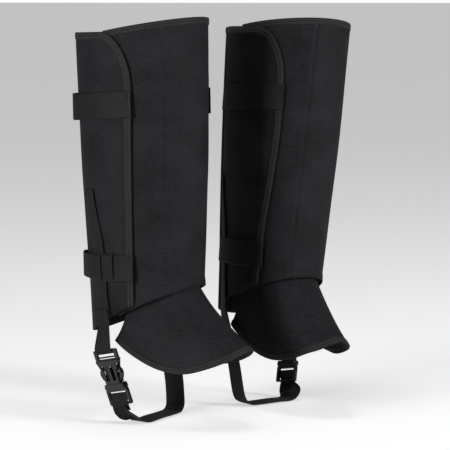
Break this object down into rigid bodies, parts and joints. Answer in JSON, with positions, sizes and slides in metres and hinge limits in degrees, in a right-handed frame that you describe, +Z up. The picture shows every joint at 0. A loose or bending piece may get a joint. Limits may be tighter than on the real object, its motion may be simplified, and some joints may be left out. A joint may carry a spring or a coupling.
{
  "type": "pair of snake-guard gaiters",
  "caption": "Pair of knee-high black fabric gaiters with stiffened shin panels, rear closure, instep hoods and buckled stirrup straps.",
  "frame": {"origin": "on the ground, at the middle of the outline of the pair as seen from above", "axes": "+Z up along the legs, -Y towards the toes, -X to the wearer's right"},
  "size_m": [0.3412, 0.2664, 0.4624],
  "materials": {
    "shell_fabric": "coated plain-weave polyester, near black with a faint cool tint, matt",
    "lining_fabric": "smooth dark lining cloth",
    "binding_tape": "folded ribbed binding tape with two rows of stitching",
    "webbing": "woven strap webbing with a ribbed face",
    "elastic_band": "brownish black ribbed band",
    "loop_pile": "soft loop pile",
    "hook_tape": "hook tape",
    "sewing_thread": "sewing thread",
    "stiffener_board": "bendable plastic sheet",
    "buckle_plastic": "moulded acetal, glossy"
  },
  "bodies": {
    "right_leg_shell": {"right_shin_panel": "shell_fabric", "right_shin_lining": "lining_fabric", "right_centre_board": "stiffener_board", "right_side_boards": "stiffener_board", "right_top_binding": "binding_tape", "right_lateral_wing": "shell_fabric", "right_medial_wing": "shell_fabric", "right_wing_bindings": "binding_tape", "right_lateral_straps": "webbing", "right_medial_straps": "webbing", "right_strap_keeper": "elastic_band", "right_stirrup_webbing": "webbing", "right_buckle_plug": "buckle_plastic", "right_underfoot_webbing": "webbing", "right_bar_tacks": "sewing_thread"},
    "right_outer_rear_flap": {"right_medial_rear_flap": "shell_fabric", "right_hook_strip": "hook_tape", "right_rear_straps": "webbing"},
    "right_inner_rear_flap": {"right_lateral_rear_flap": "shell_fabric", "right_loop_strip": "loop_pile"},
    "right_upper_tongue": {"right_upper_tongue": "webbing"},
    "right_lower_tongue": {"right_lower_tongue": "webbing"},
    "right_hood": {"right_instep_hood": "shell_fabric", "right_hood_binding": "binding_tape"},
    "right_socket": {"right_buckle_socket": "buckle_plastic", "right_stirrup_loop": "webbing"},
    "right_front_prong": {"right_front_prong": "buckle_plastic"},
    "right_rear_prong": {"right_rear_prong": "buckle_plastic"},
    "left_leg_shell": {"left_shin_panel": "shell_fabric", "left_shin_lining": "lining_fabric", "left_centre_board": "stiffener_board", "left_side_boards": "stiffener_board", "left_top_binding": "binding_tape", "left_lateral_wing": "shell_fabric", "left_medial_wing": "shell_fabric", "left_wing_bindings": "binding_tape", "left_lateral_straps": "webbing", "left_medial_straps": "webbing", "left_strap_keeper": "elastic_band", "left_stirrup_webbing": "webbing", "left_buckle_plug": "buckle_plastic", "left_underfoot_webbing": "webbing", "left_bar_tacks": "sewing_thread"},
    "left_outer_rear_flap": {"left_medial_rear_flap": "shell_fabric", "left_hook_strip": "hook_tape", "left_rear_straps": "webbing"},
    "left_inner_rear_flap": {"left_lateral_rear_flap": "shell_fabric", "left_loop_strip": "loop_pile"},
    "left_upper_tongue": {"left_upper_tongue": "webbing"},
    "left_lower_tongue": {"left_lower_tongue": "webbing"},
    "left_hood": {"left_instep_hood": "shell_fabric", "left_hood_binding": "binding_tape"},
    "left_socket": {"left_buckle_socket": "buckle_plastic", "left_stirrup_loop": "webbing"},
    "left_front_prong": {"left_front_prong": "buckle_plastic"},
    "left_rear_prong": {"left_rear_prong": "buckle_plastic"}
  },
  "joints": [
    {"name": "right_rear_opening", "type": "hinge", "parent": "right_leg_shell", "child": "right_outer_rear_flap", "pos_m": [-0.06928, 0.10165, 0.09887], "axis": [-0.0275, -0.0482, -0.9985], "range_deg": [0, 75]},
    {"name": "right_inner_flap_opening", "type": "hinge", "parent": "right_leg_shell", "child": "right_inner_rear_flap", "pos_m": [-0.14226, 0.09034, 0.09889], "axis": [-0.0397, 0.0387, 0.9985], "range_deg": [0, 46]},
    {"name": "right_upper_tongue_peel", "type": "hinge", "parent": "right_leg_shell", "child": "right_upper_tongue", "pos_m": [-0.15395, 0.10089, 0.34469], "axis": [-0.0307, 0.031, 0.999], "range_deg": [0, 150]},
    {"name": "right_lower_tongue_peel", "type": "hinge", "parent": "right_leg_shell", "child": "right_lower_tongue", "pos_m": [-0.15942, 0.05993, 0.16448], "axis": [-0.0703, 0.027, 0.9972], "range_deg": [0, 150]},
    {"name": "right_hood_lift", "type": "hinge", "parent": "right_leg_shell", "child": "right_hood", "pos_m": [-0.09073, -0.01437, 0.16422], "axis": [-0.9903, -0.1392, 0], "range_deg": [0, 18]},
    {"name": "right_buckle_release", "type": "slide", "parent": "right_leg_shell", "child": "right_socket", "axis": [-0.2217, 0.1989, 0.9546], "range_m": [0, 0.024]},
    {"name": "right_front_prong_squeeze", "type": "hinge", "parent": "right_leg_shell", "child": "right_front_prong", "pos_m": [-0.14755, 0.04464, 0.04789], "axis": [-0.9749, -0.0646, -0.2129], "range_deg": [0, 5]},
    {"name": "right_rear_prong_squeeze", "type": "hinge", "parent": "right_leg_shell", "child": "right_rear_prong", "pos_m": [-0.14785, 0.06016, 0.04459], "axis": [-0.9749, -0.0646, -0.2129], "range_deg": [-5, 0]},
    {"name": "left_rear_opening", "type": "hinge", "parent": "left_leg_shell", "child": "left_outer_rear_flap", "pos_m": [0.04843, 0.06171, 0.1033], "axis": [0.0574, 0.0084, 0.9983], "range_deg": [0, 75]},
    {"name": "left_inner_flap_opening", "type": "hinge", "parent": "left_leg_shell", "child": "left_inner_rear_flap", "pos_m": [0.11922, 0.04167, 0.09686], "axis": [-0.1227, 0.0091, -0.9924], "range_deg": [0, 46]},
    {"name": "left_upper_tongue_peel", "type": "hinge", "parent": "left_leg_shell", "child": "left_upper_tongue", "pos_m": [0.15144, 0.0402, 0.34104], "axis": [-0.1129, 0.0157, -0.9935], "range_deg": [0, 150]},
    {"name": "left_lower_tongue_peel", "type": "hinge", "parent": "left_leg_shell", "child": "left_lower_tongue", "pos_m": [0.13758, 0.00662, 0.15976], "axis": [-0.1514, 0.0244, -0.9882], "range_deg": [0, 150]},
    {"name": "left_hood_lift", "type": "hinge", "parent": "left_leg_shell", "child": "left_hood", "pos_m": [0.0604, -0.05874, 0.1628], "axis": [-0.9659, 0.2588, 0], "range_deg": [0, 18]},
    {"name": "left_buckle_release", "type": "slide", "parent": "left_leg_shell", "child": "left_socket", "axis": [0.3191, 0.1296, 0.9388], "range_m": [0, 0.024]},
    {"name": "left_front_prong_squeeze", "type": "hinge", "parent": "left_leg_shell", "child": "left_front_prong", "pos_m": [0.11476, -0.00212, 0.04413], "axis": [-0.9396, 0.1729, 0.2955], "range_deg": [0, 5]},
    {"name": "left_rear_prong_squeeze", "type": "hinge", "parent": "left_leg_shell", "child": "left_rear_prong", "pos_m": [0.11673, 0.01337, 0.04133], "axis": [-0.9396, 0.1729, 0.2955], "range_deg": [-5, 0]},
    {"name": "pair_apart", "type": "slide", "parent": "right_leg_shell", "child": "left_leg_shell", "axis": [1, 0, 0], "range_m": [0, 0.12]}
  ],
  "couplings": [
    {"joint": "right_inner_flap_opening", "follows": "right_rear_opening", "ratio": 0.6},
    {"joint": "right_upper_tongue_peel", "follows": "right_rear_opening", "ratio": 2},
    {"joint": "right_lower_tongue_peel", "follows": "right_rear_opening", "ratio": 2},
    {"joint": "right_rear_prong_squeeze", "follows": "right_front_prong_squeeze", "ratio": -1},
    {"joint": "left_inner_flap_opening", "follows": "left_rear_opening", "ratio": 0.6},
    {"joint": "left_upper_tongue_peel", "follows": "left_rear_opening", "ratio": 2},
    {"joint": "left_lower_tongue_peel", "follows": "left_rear_opening", "ratio": 2},
    {"joint": "left_rear_prong_squeeze", "follows": "left_front_prong_squeeze", "ratio": -1}
  ]
}
